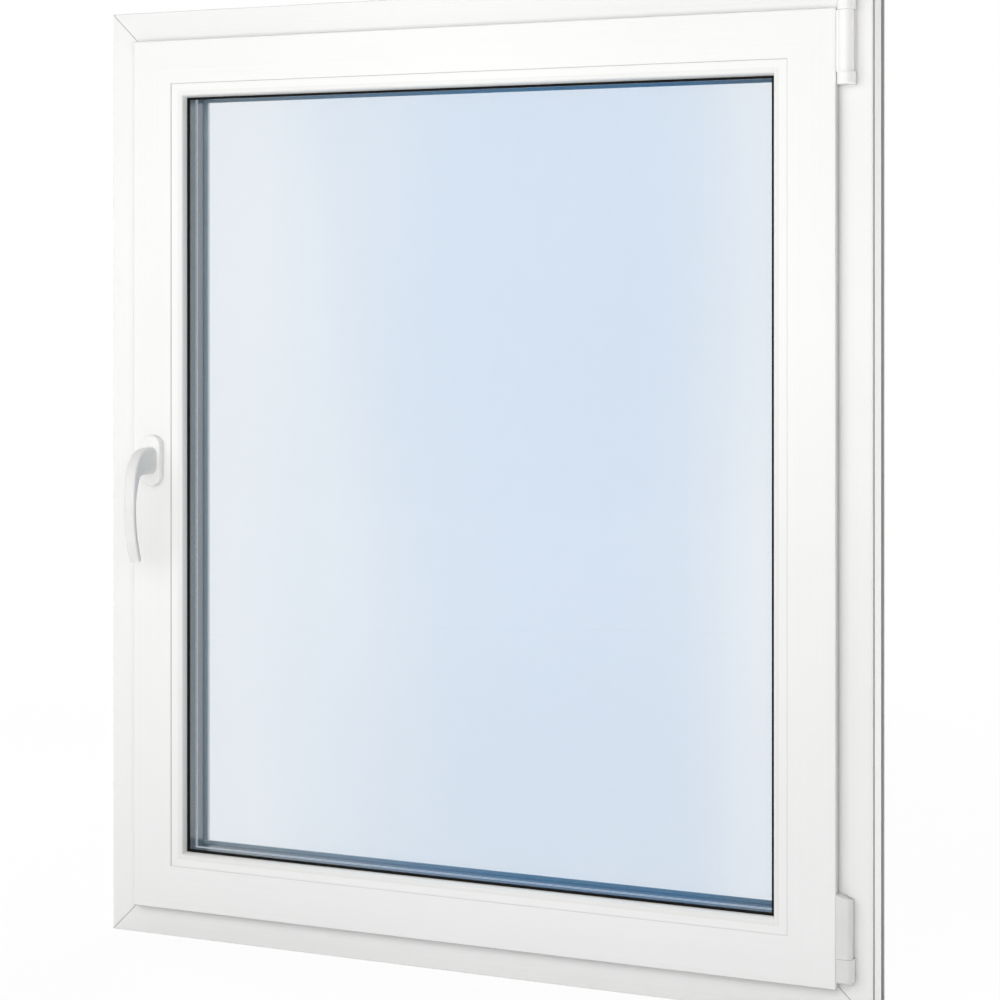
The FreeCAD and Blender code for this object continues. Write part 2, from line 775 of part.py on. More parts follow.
def cylinder(body, low, height, radius):
    sketch = make_sketch(body, "XY_Plane", low)
    add_circle(sketch, 0, 0, radius)
    return pad(body, sketch, height)


def bore(body, low, height):
    """A hole for the pin, from low upwards."""
    sketch = make_sketch(body, "XY_Plane", low)
    add_circle(sketch, 0, 0, pin_radius + s.boss_clearance)
    pocket(body, sketch, height, reverse=True)
    place(body, hinge_x, hinge_y, 0)


# Top hinge: a bracket on the frame holds a knuckle of the sash between its two ends
bracket_low = s.frame_height - s.bracket_drop - s.bracket_height
knuckle_low = bracket_low + s.bracket_end
knuckle_height = s.bracket_height - 2 * s.bracket_end
plate_front = frame_side - s.bracket_plate
bracket = make_body("top_hinge_frame_bracket")
cylinder(bracket, bracket_low, s.bracket_height, s.bracket_radius)
prism(bracket, rectangle(-s.bracket_radius, 0, s.bracket_radius, frame_side),
      bracket_low, s.bracket_height)
behind = make_sketch(bracket, "XY_Plane", bracket_low)
add_loop(behind, rectangle(-s.bracket_radius, frame_side, s.bracket_radius, 2 * frame_side))
tip = pocket(bracket, behind, s.bracket_height, reverse=True)
bracket_ends = (bracket_low.value, (bracket_low + s.bracket_height).value)
tip = round_edges(
    bracket, tip,
    lambda p: any(near(p.z, end) for end in bracket_ends) and p.y < frame_side.value - 0.01,
    s.bracket_edge, kind="Chamfer")
notch = make_sketch(bracket, "XY_Plane", knuckle_low)
add_loop(notch, rectangle(
    -2 * s.bracket_radius, -2 * s.bracket_radius, 2 * s.bracket_radius, plate_front))
pocket(bracket, notch, knuckle_height, reverse=True)
bore(bracket, bracket_low, s.bracket_height)

knuckle = make_body("top_hinge_sash_knuckle")
low = knuckle_low + s.hinge_gap
height = knuckle_height - 2 * s.hinge_gap
cylinder(knuckle, low, height, s.knuckle_radius)
leaf_front = s.hinge_from_frame - s.sash_proud + s.sash_round
leaf_back = s.hinge_from_frame - s.seal_gap - s.leaf_inset
prism(knuckle, rectangle(sash_edge, leaf_front, 0, leaf_back), low, height)
back_cut = make_sketch(knuckle, "XY_Plane", low)
add_loop(back_cut, rectangle(
    -s.bracket_radius, plate_front - s.hinge_gap, s.bracket_radius, 2 * frame_side))
pocket(knuckle, back_cut, height, reverse=True)
bore(knuckle, low, height)

# Bottom hinge: a pivot on the frame carries a cover fixed to the sash
cover_front = s.hinge_from_frame - s.sash_proud - s.cover_proud
pivot_right = sash_edge + s.pivot_width
pivot_top = s.pivot_above_sill + s.pivot_height
pivot = make_body("bottom_hinge_frame_pivot")
tip = prism(pivot, rectangle(sash_edge + s.hinge_gap, cover_front, pivot_right, frame_side),
            s.pivot_above_sill, s.pivot_height)
tip = round_edges(
    pivot, tip, lambda p: near(p.x, pivot_right) and near(p.y, cover_front), s.pivot_round)
round_edges(
    pivot, tip, lambda p: near(p.z, s.pivot_above_sill) and p.y < frame_side.value - 0.01
    and not near(p.x, sash_edge + s.hinge_gap), s.pivot_foot_round)
pin_reach = s.pivot_height - s.pivot_foot_round
bore(pivot, pivot_top - pin_reach, pin_reach)

cover_low = pivot_top + s.hinge_gap
cover_top = cover_low + s.cover_height
cover_right = sash_edge + s.cover_width
cover = make_body("bottom_hinge_sash_cover")
cover_sketch = make_sketch(cover, "XZ_Plane", -cover_front)
add_loop(cover_sketch, [
    (sash_edge, cover_low), (cover_right, cover_low),
    (cover_right, cover_top - s.cover_fall), (sash_edge, cover_top)])
tip = pad(cover, cover_sketch, frame_side - cover_front - 2 * s.hinge_gap, reverse=True)
tip = round_edges(
    cover, tip, lambda p: near(p.x, cover_right) and near(p.y, cover_front), s.cover_round)
round_edges(
    cover, tip, lambda p: near(p.y, cover_front) and p.z > (cover_top - s.cover_fall).value,
    s.cover_edge, kind="Chamfer")
bore(cover, cover_low, s.cover_height / 2)


def hinge_pin(label, low, height):
    body = make_body(label)
    cylinder(body, low, height, pin_radius)
    place(body, hinge_x, hinge_y, 0)


hinge_pin("top_hinge_pin", bracket_low, s.bracket_height)
hinge_pin("bottom_hinge_pin", pivot_top - pin_reach, pin_reach + s.hinge_gap + s.cover_height / 2)

# Drain covers over the slots, hoods that are open below
for label, end in (("drain_cover_left", -1), ("drain_cover_right", 1)):
    hood = make_body(label)
    hood_sketch = make_sketch(hood, "XZ_Plane", -weather_face)
    left = end * slot_middle - s.drain_cover_length / 2
    right = end * slot_middle + s.drain_cover_length / 2
    hood_top = s.drain_cover_above + s.drain_cover_height
    hood_back = weather_face + s.drain_cover_depth
    add_loop(hood_sketch, rectangle(left, s.drain_cover_above, right, hood_top))
    tip = pad(hood, hood_sketch, s.drain_cover_depth, reverse=True)
    round_edges(hood, tip, lambda p: near(p.y, hood_back), s.drain_cover_edge, kind="Chamfer")
    hollow = make_sketch(hood, "XZ_Plane", -weather_face)
    add_loop(hollow, rectangle(
        left + s.drain_cover_wall, s.drain_cover_above - s.drain_cover_wall,
        right - s.drain_cover_wall, hood_top - s.drain_cover_wall))
    pocket(hood, hollow, s.drain_cover_depth - s.drain_cover_wall)

# Check every object, then write one file for each part
doc.recompute()
for thing in doc.Objects:
    if "Invalid" in thing.State or "Error" in thing.State:
        raise RuntimeError(f"{thing.Name} ({thing.Label}) failed: {thing.State}")
os.makedirs("parts", exist_ok=True)
bodies = [body for body in doc.findObjects("PartDesign::Body") if body is not lever]
for part in bodies + [handle]:
    shape = part.Shape
    if shape.isNull() or not shape.isValid() or shape.Volume <= 0:
        raise RuntimeError(f"{part.Label} has no sound shape")
    shape.exportStep(f"parts/{part.Label}.step")
    print(part.Label, len(shape.Solids), round(shape.Volume / 1000, 1), "cm3")
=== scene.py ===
"""Tilt and turn window: finishes, softened edges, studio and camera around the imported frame."""

import math

import bmesh
import bpy
from bpy.props import FloatProperty, FloatVectorProperty, PointerProperty
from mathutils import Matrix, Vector


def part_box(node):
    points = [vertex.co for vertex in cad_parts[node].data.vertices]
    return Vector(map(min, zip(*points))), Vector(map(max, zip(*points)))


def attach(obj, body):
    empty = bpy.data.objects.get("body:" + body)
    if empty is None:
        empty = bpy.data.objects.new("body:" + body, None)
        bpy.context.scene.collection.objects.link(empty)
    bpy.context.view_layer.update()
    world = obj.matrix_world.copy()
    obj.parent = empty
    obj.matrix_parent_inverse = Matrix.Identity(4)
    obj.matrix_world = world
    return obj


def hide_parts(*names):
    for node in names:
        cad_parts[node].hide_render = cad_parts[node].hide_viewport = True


bl_info = {
    "name": "Tilt and turn window",
    "version": (1, 0, 0),
    "blender": (4, 5, 0),
    "location": "View3D > Sidebar > Window",
    "description": "Dresses the packed frame of a white tilt and turn window",
    "category": "Object",
}

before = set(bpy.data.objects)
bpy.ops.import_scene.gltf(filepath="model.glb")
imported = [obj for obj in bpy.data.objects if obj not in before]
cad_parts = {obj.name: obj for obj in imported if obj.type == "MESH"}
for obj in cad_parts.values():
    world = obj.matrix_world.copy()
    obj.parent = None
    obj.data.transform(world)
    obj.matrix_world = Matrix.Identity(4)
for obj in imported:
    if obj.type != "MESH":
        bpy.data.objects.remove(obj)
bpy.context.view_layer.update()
MM = 0.001

# Outline of the frame, and depths along Y, in metres
HALF_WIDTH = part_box("frame_right_jamb")[1][0]
HALF_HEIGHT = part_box("frame_head")[1][2] / 2
FRAME_DEPTH = 2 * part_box("frame_sill")[1][1]
SASH_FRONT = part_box("sash_top_rail")[0][1]
GLASS_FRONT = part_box("pane_inside")[0][1]

# Distances from the frame's outline to the edge of the sash, to the joint beside the beads, to the
# beads' inner side and to the end of the spacer bars
SASH_LINE = HALF_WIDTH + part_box("sash_handle_stile")[0][0]
BEAD_LINE = 95.5 * MM
BEAD_INNER = (BEAD_LINE + 9 * MM, BEAD_LINE + 10 * MM)
SPACER_LINE = 113.2 * MM

# Clip grooves round the frame, darkened as painted shade: distance from its faces, where the
# painted shade begins, depth and how dark the painted shade is
GROOVE_EDGE = 3.0 * MM
GROOVE_MOUTH = (0.3 * MM, 0.6 * MM)
GROOVE_DEPTH = 6.0 * MM
GROOVE_SHADE = 0.5

# Half widths of the dark lines: joints at mitres and beads, painted shade where the sash closes
MITRE_JOINT = 0.65 * MM
BEAD_JOINT = 0.6 * MM
CLOSING_SHADE_WIDTH = 0.9 * MM

# Groups of bars: direction, darkness (mitre joint; bead joint, partly painted shade that differs
# by side; painted shade where the sash closes on the frame, darkest at the bottom) and nodes
BARS = (
    ("jambs", "Z", (0.8, 0.0, 0.0), ("frame_left_jamb", "frame_right_jamb")),
    ("head_and_sill", "X", (0.8, 0.0, 0.0), ("frame_head", "frame_sill")),
    ("handle_side", "Z", (0.0, 0.8, 0.15), ("sash_handle_stile", "bead_left")),
    ("sash_top", "X", (0.0, 0.35, 0.0), ("sash_top_rail", "bead_top")),
    ("hinge_side", "Z", (0.0, 0.12, 0.1), ("sash_hinge_stile", "bead_right")),
    ("sash_bottom", "X", (0.0, 0.15, 0.7), ("sash_bottom_rail", "bead_bottom")),
)
COVERS = ("drain_cover_left", "drain_cover_right")
COVER_EDGE = 0.3 * MM
HINGES = {
    "upper_hinge": ("top_hinge_frame_bracket", "top_hinge_sash_knuckle"),
    "lower_hinge": ("bottom_hinge_frame_pivot", "bottom_hinge_sash_cover"),
}
PINS = ("top_hinge_pin", "bottom_hinge_pin")
SEALS = ("glazing_gasket_inside", "sash_seal", "frame_seal")

# Brightness of each fitting's coat and of each spacer bar, as a share of the set colour: the
# lever's coat is darkened as painted shade, the upper hinge's and the outer spacer bar's are
# lightened as painted light
COATS = {"lever": 0.88, "rosette": 1.01, "upper_hinge": 1.04, "lower_hinge": 0.84}
SPACERS = {"inside": ("inner_spacer_metal", 1.0), "outside": ("outer_spacer_metal", 1.4)}

# Colours and measures of the finishes that no setting holds
BLACK_RUBBER = (0.003, 0.003, 0.003, 1)
DUSTY_RUBBER = (0.05, 0.05, 0.05, 1)
STEEL = ((0.50, 0.51, 0.52, 1), (0.62, 0.63, 0.64, 1))
BLOCKS = ((0.04, 0.08, 0.20, 1), (0.06, 0.11, 0.25, 1))
REFRACTION = 1.5
SLANT = 0.12
# The panes' cut edge glows as painted light, by this many times its colour
RIM_GLOW = 1.35

# Angles above which an edge of a softened piece is sharp, in degrees
SHARP = 30
SHARP_LEVER = 38
SHARP_FITTING = 25
WELD = 0.002 * MM
FLAT = math.radians(0.6)

# Lamps: name, setting, place, target, and width and height, in metres
LAMPS = (
    ("main_lamp", "key", (-0.05, -1.6, 1.04), (-0.05, 0, 0.99), (2.6, 1.3)),
    ("edge_lamp", "edge", (0.85, 0.12, 0.6), (0.5, 0.02, 0.6), (0.15, 1.5)),
    ("far_edge_lamp", "far_edge", (-1.5, 0.5, 0.8), (-0.5, 0.02, 0.65), (0.3, 1.5)),
    ("back_lamp", "back", (-0.2, 2.0, 2.6), (0, 0, 0.9), (2.4, 1.6)),
)

# Floor: half its side, and the distances between which it glows from this share up to white
FLOOR_SIZE = 12
FLOOR_FADE = (0.5, 2.6)
FLOOR_GLOW = 0.955

# Surroundings: where along X they grow darker for matt surfaces, and the share that is left
DIM_FADE = (-0.2, 0.8)
DIM_SHARE = 0.15

CAMERA_PLACE = (0.9602, -2.4099, 0.83706)
CAMERA_TURN = (math.radians(90), 0, math.radians(21.109))
CAMERA_SHIFT = -0.209
SENSOR_WIDTH = 36


# Sizes and colours that a user would change

def colour_setting(name, description, default):
    return FloatVectorProperty(
        name=name, description=description, subtype="COLOR", size=3, min=0, max=1, default=default)


def share_setting(name, description, default):
    return FloatProperty(
        name=name, description=description, subtype="FACTOR", min=0, max=1, default=default)


def length_setting(name, description, default, least=0.0):
    return FloatProperty(
        name=name, description=description, unit="LENGTH", min=least, default=default)


def amount_setting(name, description, default, least=0.0):
    return FloatProperty(name=name, description=description, min=least, default=default)


class PlasticSettings(bpy.types.PropertyGroup):
    """White plastic of the frame, the sash and the beads."""
    colour: colour_setting("Colour", "Colour of the plastic", (0.862, 0.863, 0.852))
    # Also the colour of the painted shade in the clip grooves, beside the beads and along the
    # sash's edge
    joint_and_shade: colour_setting(
        "Joint", "Colour of the fine joints between the bars", (0.16, 0.16, 0.155))
    # Painted shade on the beads' inner side, darker towards the glass
    recess_shade: colour_setting(
        "Recess", "Shade of the beads' inner side beside the glass", (0.24, 0.20, 0.11))
    roughness: share_setting("Roughness", "How matt the plastic is", 0.3)
    line_spacing: length_setting(
        "Line spacing", "Distance of the faint lines along each bar", 1.6 * MM, least=0.0001)


class FittingSettings(bpy.types.PropertyGroup):
    """Handle and hinges with their coat of paint."""
    colour: colour_setting("Colour", "Colour of the coated fittings", (0.866, 0.861, 0.845))
    grain: length_setting("Grain", "Size of the coat's grain", 0.9 * MM, least=0.0001)
    edge: length_setting("Rosette edge", "Width of the soft edge on the rosette", 0.4 * MM)
    lever_edge: length_setting("Lever edge", "Width of the soft edge on the lever", 0.9 * MM)


class GlassSettings(bpy.types.PropertyGroup):
    """The three panes and what holds them apart."""
    # The haze colours carry a painted reflection of the sky: pale near the handle side, blue in
    # the middle
    warm: colour_setting("Pale haze", "Haze near the handle side", (0.24, 0.42, 0.60))
    cool: colour_setting("Blue haze", "Haze in the middle of the panes", (0.03, 0.30, 0.66))
    haze: share_setting("Haze", "How much haze a pane has on its room face", 0.055)
    spacer: colour_setting("Spacer", "Colour of the bars between the panes", (0.20, 0.20, 0.20))
    # Painted reflection: the sky's blue on the spacer bars towards the hinges
    spacer_sky_reflection: colour_setting(
        "Spacer sheen", "Blue that the spacer bars take on", (0.055, 0.095, 0.155))
    # Painted light: a lighter colour for the spacer bar at the top
    spacer_lit: colour_setting(
        "Spacer above", "Colour of the spacer bars at the top", (0.23, 0.30, 0.37))
    outer: colour_setting(
        "Outer gasket", "Grey rubber behind the glass unit", (0.48, 0.49, 0.46))
    # Painted reflection: the sky's blue on the grey rubber towards the hinges
    outer_sky_reflection: colour_setting(
        "Outer gasket sheen", "Blue that the grey rubber takes on", (0.17, 0.22, 0.27))
    # The cut edge's colour, which it also glows with as painted light
    glowing_rim: colour_setting("Pane edge", "Colour of the cut edge of a pane", (0.42, 0.45, 0.48))


class StageSettings(bpy.types.PropertyGroup):
    """Floor, lamps and camera."""
    floor: colour_setting("Floor", "Colour of the floor", (0.76, 0.76, 0.76))
    key: amount_setting("Main lamp", "Strength of the main lamp in watts", 27.9)
    edge: amount_setting(
        "Edge lamp", "Strength of the lamp beside the hinge jamb in watts", 2.4)
    far_edge: amount_setting(
        "Far edge lamp", "Strength of the lamp beside the handle jamb in watts", 8)
    back: amount_setting("Back lamp", "Strength of the lamp on the weather side in watts", 50)
    ambient: amount_setting("Surroundings", "Brightness of the surroundings", 0.395)
    lens: amount_setting("Lens", "Focal length in millimetres", 75.08, least=10)


class WindowSettings(bpy.types.PropertyGroup):
    """All settings of the window."""
    plastic: PointerProperty(type=PlasticSettings)
    fitting: PointerProperty(type=FittingSettings)
    glass: PointerProperty(type=GlassSettings)
    stage: PointerProperty(type=StageSettings)


# Shader maths

class Socket:
    """An output of a shader node, for use in plain arithmetic."""

    def __init__(self, finish, output):
        self.finish = finish
        self.output = output

    def _math(self, operation, first, second):
        return self.finish.node("ShaderNodeMath", {"operation": operation}, {0: first, 1: second})

    def __add__(self, other):
        return self._math("ADD", self, other)

    def __sub__(self, other):
        return self._math("SUBTRACT", self, other)

    def __rsub__(self, other):
        return self._math("SUBTRACT", other, self)

    def __mul__(self, other):
        return self._math("MULTIPLY", self, other)

    def __abs__(self):
        return self._math("ABSOLUTE", self, 0.0)

    def least(self, other):
        return self._math("MINIMUM", self, other)

    def greatest(self, other):
        return self._math("MAXIMUM", self, other)


class Finish:
    """The nodes of one material, or of the world."""

    def __init__(self, owner):
        self.owner = bpy.data.materials.new(owner) if isinstance(owner, str) else owner
        self.owner.use_nodes = True
        self.tree = self.owner.node_tree
        self.tree.nodes.clear()

    def node(self, kind, settings=None, sockets=None, output=0):
        """Adds a node, sets it up, then fills its sockets with values or links."""
        node = self.tree.nodes.new(kind)
        for name, value in (settings or {}).items():
            setattr(node, name, value)
        for name, value in (sockets or {}).items():
            if isinstance(value, Socket):
                self.tree.links.new(value.output, node.inputs[name])
            else:
                node.inputs[name].default_value = value
        return Socket(self, node.outputs[output])

    def place(self, stretch=(1, 1, 1), turn=0):
        """Object coordinates, stretched, and turned by some degrees about Y."""
        coordinates = self.node("ShaderNodeTexCoord", output="Object")
        return self.node("ShaderNodeMapping", None, {
            "Vector": coordinates, "Scale": stretch, "Rotation": (0, math.radians(turn), 0)})

    def noise(self, scale, detail=2, roughness=0.5, distortion=0.0, **placing):
        return self.node("ShaderNodeTexNoise", None, {
            "Vector": self.place(**placing), "Scale": scale, "Detail": detail,
            "Roughness": roughness, "Distortion": distortion})

    def fade(self, value, low, high, to_low=0.0, to_high=1.0):
        """Takes the value from low to high, smoothly, onto another range."""
        return self.node("ShaderNodeMapRange", {"interpolation_type": "SMOOTHSTEP"}, {
            "Value": value, "From Min": low, "From Max": high,
            "To Min": to_low, "To Max": to_high})

    def fall(self, value, low, high):
        """1 where the value is below low, and 0 where it is above high."""
        return self.fade(value, low, high, 1.0, 0.0)

    def axis(self, name):
        """Distance along one axis of the object, in metres."""
        coordinates = self.node("ShaderNodeTexCoord", output="Object")
        return self.node("ShaderNodeSeparateXYZ", None, {"Vector": coordinates}, output=name)

    def inset(self):
        """Distances from the frame's upright and level outlines, in metres."""
        return HALF_WIDTH - abs(self.axis("X")), HALF_HEIGHT - abs(self.axis("Z") - HALF_HEIGHT)

    def line(self, distance, half_width):
        """1 where the distance is near zero."""
        return self.fall(abs(distance), half_width * 0.7, half_width)

    def glancing_reflection(self):
        """How far a face is seen aslant, which strengthens a painted reflection on the glass."""
        return self.node("ShaderNodeLayerWeight", None, {"Blend": SLANT}, output="Fresnel")

    def mix(self, share, first, second):
        """Mixes two colours."""
        return self.node("ShaderNodeMix", {"data_type": "RGBA"}, {
            "Factor": share, 6: first, 7: second}, output=2)

    def bump(self, height, distance, strength=0.5):
        return self.node("ShaderNodeBump", None, {
            "Height": height, "Distance": distance, "Strength": strength})

    def surface(self, **sockets):
        """Ends the material in one Principled shader."""
        named = {name.replace("_", " ").title().replace("Ior", "IOR"): value
                 for name, value in sockets.items()}
        return self.finish_with(self.node("ShaderNodeBsdfPrincipled", None, named))

    def finish_with(self, shader, kind="ShaderNodeOutputMaterial"):
        end = self.tree.nodes.new(kind)
        self.tree.links.new(shader.output, end.inputs["Surface"])
        return self.owner


def rgba(colour, times=1.0):
    return (colour[0] * times, colour[1] * times, colour[2] * times, 1)


# Finishes

def frame_joints_and_groove_shade(finish, colour, settings, mitre):
    """Paints shade into the clip grooves round the frame, and draws the joints at its corners."""
    beside, rise = finish.inset()
    inward = beside.least(rise)
    depth = FRAME_DEPTH / 2 - abs(finish.axis("Y"))
    between = finish.fade(depth, GROOVE_EDGE * 0.9, GROOVE_EDGE)
    sunk = finish.fade(inward, *GROOVE_MOUTH)
    shallow = finish.fall(inward, GROOVE_DEPTH * 0.9, GROOVE_DEPTH)
    # painted shade in the clip grooves, in the joints' colour
    colour = finish.mix(between * sunk * shallow * GROOVE_SHADE, colour, rgba(settings.joint_and_shade))
    return finish.mix(
        finish.line(beside - rise, MITRE_JOINT) * mitre, colour, rgba(settings.joint_and_shade))


def sash_joints_and_shade(finish, colour, settings, bead, sash_edge_shade):
    """Draws the joints beside the beads, partly as painted shade, and paints shade along the
    sash's edge where it closes on the frame and on the beads' inner side.
    """
    beside, rise = finish.inset()
    inward = beside.least(rise)
    depth = finish.axis("Y")
    front = finish.fall(depth, SASH_FRONT + 0.7 * MM, SASH_FRONT + 0.9 * MM)
    # joints beside the beads, darker on some sides as painted shade
    joint_and_shade = finish.line(inward - BEAD_LINE, BEAD_JOINT) * front * bead
    # painted shade along the sash's edge where it closes on the frame, darkest at the bottom
    closing_shade = finish.line(inward - SASH_LINE, CLOSING_SHADE_WIDTH) * sash_edge_shade
    colour = finish.mix(joint_and_shade + closing_shade, colour, rgba(settings.joint_and_shade))
    # painted shade on the beads' inner side, darker towards the glass
    inner = finish.fade(inward, *BEAD_INNER)
    deep = finish.fade(depth, SASH_FRONT + 4 * MM, GLASS_FRONT)
    before_glass = finish.fall(depth, GLASS_FRONT, GLASS_FRONT + 1 * MM)
    return finish.mix(
        inner * before_glass * (deep * 0.3 + 0.08), colour, rgba(settings.recess_shade))


def extruded_plastic(name, settings, along, mitre=0.0, bead=0.0, sash_edge_shade=0.0):
    """White plastic profile with the faint lines of the die along each bar, and its fine joints.

    mitre tells how dark the joints are at the frame's corners, and bead how dark the joints beside
    the beads are, which is partly painted shade that differs from side to side; the last one tells
    how dark the painted shade is along the sash's edge where it closes on the frame.
    """
    finish = Finish(name)
    stretch = [1 / settings.line_spacing] * 3
    stretch["XYZ".index(along)] = 1.2
    lines = finish.noise(1.0, detail=1, stretch=stretch)
    broad = finish.noise(3.2)
    speck = finish.noise(900, detail=0)
    colour = finish.mix(
        finish.fade(broad * 0.03 + lines * 0.02, 0.015, 0.035), rgba(settings.colour, 0.975),
        rgba(settings.colour, 1.01))
    if mitre:
        colour = frame_joints_and_groove_shade(finish, colour, settings, mitre)
    if bead:
        colour = sash_joints_and_shade(finish, colour, settings, bead, sash_edge_shade)
    roughness = broad * 0.10 + speck * 0.05 + (settings.roughness - 0.07)
    relief = finish.bump(lines * 0.7 + speck * 0.3, 0.02 * MM, 0.35)
    return finish.surface(
        base_color=colour, roughness=roughness, normal=relief, IOR=REFRACTION,
        specular_ior_level=0.5, coat_weight=0.15, coat_roughness=0.12)


def coated_metal(fitting, settings):
    """Fittings with a fine coat of paint."""
    finish = Finish(f"coated_{fitting}")
    grain = finish.noise(1 / settings.grain, roughness=0.4)
    broad = finish.noise(28, detail=3)
    # the share darkens the lever as painted shade and lightens the upper hinge as painted light
    colour = finish.mix(
        finish.fade(broad, 0.3, 0.7), rgba(settings.colour, 0.97 * COATS[fitting]),
        rgba(settings.colour, 1.02 * COATS[fitting]))
    return finish.surface(
        base_color=colour, roughness=grain * 0.08 + broad * 0.08 + 0.26,
        normal=finish.bump(grain, 0.03 * MM), coat_weight=0.1, coat_roughness=0.15)


def rubber(finish, colour):
    """Rubber with a dusty bloom."""
    bloom = finish.noise(60, detail=5, roughness=0.6)
    fine = finish.noise(1400)
    dusty = finish.mix(finish.fade(bloom, 0.45, 0.8), colour, DUSTY_RUBBER)
    return finish.surface(
        base_color=finish.mix(0.12, colour, dusty), roughness=bloom * 0.25 + 0.5,
        normal=finish.bump(fine, 0.03 * MM), specular_ior_level=0.15)


def room_face(finish, node):
    """1 on the room side of a pane and 0 on its weather side."""
    near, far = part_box(node)
    middle = (near[1] + far[1]) / 2
    return finish.fall(finish.axis("Y"), middle - 0.5 * MM, middle + 0.5 * MM)


def edged_glass(settings):
    """Clear glass, whose cut edge glows as painted light: a bright line between the spacer bars.
    """
    finish = Finish("edged_glass")
    beside, rise = finish.inset()
    glowing_rim = finish.fall(beside.least(rise), SPACER_LINE + 0.4 * MM, SPACER_LINE + 0.6 * MM)
    return finish.surface(
        base_color=finish.mix(glowing_rim, rgba(settings.warm), rgba(settings.glowing_rim)),
        # painted light: the cut edge glows
        emission_color=finish.mix(glowing_rim, (0, 0, 0, 1), rgba(settings.glowing_rim, RIM_GLOW)),
        emission_strength=1.0, roughness=glowing_rim * 0.4 + 0.02, IOR=REFRACTION, alpha=glowing_rim * 0.8)


def pale_glass(settings, node):
    """Clear glass with an even pale haze on its room face, stronger aslant as a painted
    reflection.
    """
    finish = Finish("pale_glass")
    cloud = finish.noise(3, detail=0)
    # the haze grows where the face is seen aslant, as a painted reflection
    opacity = finish.glancing_reflection() + cloud * 0.04 + (settings.haze - 0.01) * 3.4
    return finish.surface(
        base_color=rgba(settings.warm), roughness=0.02, IOR=REFRACTION,
        alpha=opacity * room_face(finish, node))


def hazed_glass(settings, node):
    """Clear glass with a faint haze whose colour is a painted reflection of the sky: paler at both
    sides, bluer in slanting bands between them, and stronger where the face is seen aslant.
    """
    finish = Finish("hazed_glass")
    bands = finish.noise(
        1.5, detail=1.5, roughness=0.35, distortion=0.3, stretch=(2.3, 1, 0.7), turn=-16)
    streaks = finish.noise(1.6, roughness=0.4, stretch=(7, 1, 0.5), turn=-9)
    side = finish.axis("X")
    # painted reflection of the sky: paler at both sides, bluer in slanting bands
    middle = finish.fade(side, -0.48, 0.06) - finish.fade(side, 0.22, 0.40) * 0.7
    blue = finish.fade(middle * 0.6 + bands * 0.6 + streaks * 0.15, 0.36, 1.02)
    opacity = blue * 0.14 + finish.glancing_reflection() * 0.5 + (settings.haze - 0.005) * 2
    return finish.surface(
        base_color=finish.mix(blue, rgba(settings.warm), rgba(settings.cool)),
        roughness=streaks * 0.02 + 0.02, alpha=opacity * room_face(finish, node),
        IOR=REFRACTION)


def painted_sky_blue(finish):
    """How much painted blue reflection of the sky the edge of the glass unit takes on, from the
    handle to the hinges.
    """
    cloud = finish.noise(6)
    return finish.fade(finish.axis("X") + cloud * 0.3, -0.25, 0.3)


def spacer_bar(name, settings, times):
    """Rolled aluminium spacer, grey towards the handle, with a painted blue reflection towards the
    hinges and painted light on the bar at the top.
    """
    finish = Finish(name)
    rolled = finish.noise(420)
    # painted blue reflection towards the hinges; times lightens the outer bar as painted light
    colour = finish.mix(
        painted_sky_blue(finish), rgba(settings.spacer, times), rgba(settings.spacer_sky_reflection, times))
    # painted light on the spacer bar at the top
    above = finish.fade(finish.axis("Z"), HALF_HEIGHT, HALF_HEIGHT + 0.1)
    beside, rise = finish.inset()
    level = finish.fade(beside - rise, 0.0, 1 * MM)
    colour = finish.mix(above * level, colour, rgba(settings.spacer_lit))
    return finish.surface(
        base_color=colour, roughness=rolled * 0.15 + 0.25, metallic=1.0,
        normal=finish.bump(rolled, 0.04 * MM))


def bright_steel(name):
    """Ground steel of pins and spindle."""
    finish = Finish(name)
    turned = finish.noise(1.0, stretch=(400, 400, 2500))
    return finish.surface(
        base_color=finish.mix(turned, *STEEL), metallic=1.0, roughness=turned * 0.2 + 0.25,
        normal=finish.bump(turned, 0.02 * MM))


def block_plastic(name):
    """Moulded blocks under and beside the panes."""
    finish = Finish(name)
    mottled = finish.noise(90, detail=3)
    return finish.surface(
        base_color=finish.mix(mottled, *BLOCKS), roughness=mottled * 0.2 + 0.4,
        normal=finish.bump(mottled, 0.05 * MM))


# Pieces

def finish_node(node, material):
    """Gives a node of the frame its finish."""
    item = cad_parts[node]
    item.data.materials.clear()
    item.data.materials.append(material)


def link(item):
    bpy.context.scene.collection.objects.link(item)


def softened(node, material, edge, body="window", sharp=SHARP):
    """Adds a merged and smooth copy of a node, which stands for it.

    Its corners above the sharp angle are rounded by the edge's width, or kept where that is 0.
    """
    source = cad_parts[node]
    shape = bmesh.new()
    shape.from_mesh(source.data)
    bmesh.ops.remove_doubles(shape, verts=shape.verts, dist=WELD)
    if edge > 0:
        bmesh.ops.dissolve_limit(
            shape, angle_limit=FLAT, verts=shape.verts, edges=shape.edges)
        corners = [e for e in shape.edges
                   if len(e.link_faces) == 2 and e.calc_face_angle(0) > math.radians(sharp)]
        bmesh.ops.bevel(
            shape, geom=corners, offset=edge, offset_type="OFFSET", affect="EDGES", segments=2,
            profile=0.5, material=-1, clamp_overlap=True)
    mesh = bpy.data.meshes.new(f"soft_{node}")
    shape.to_mesh(mesh)
    shape.free()
    mesh.materials.append(material)
    for polygon in mesh.polygons:
        polygon.use_smooth = True
        polygon.material_index = 0
    mesh.set_sharp_from_angle(angle=math.radians(sharp))
    piece = bpy.data.objects.new(f"soft_{node}", mesh)
    link(piece)
    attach(piece, body)
    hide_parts(node)


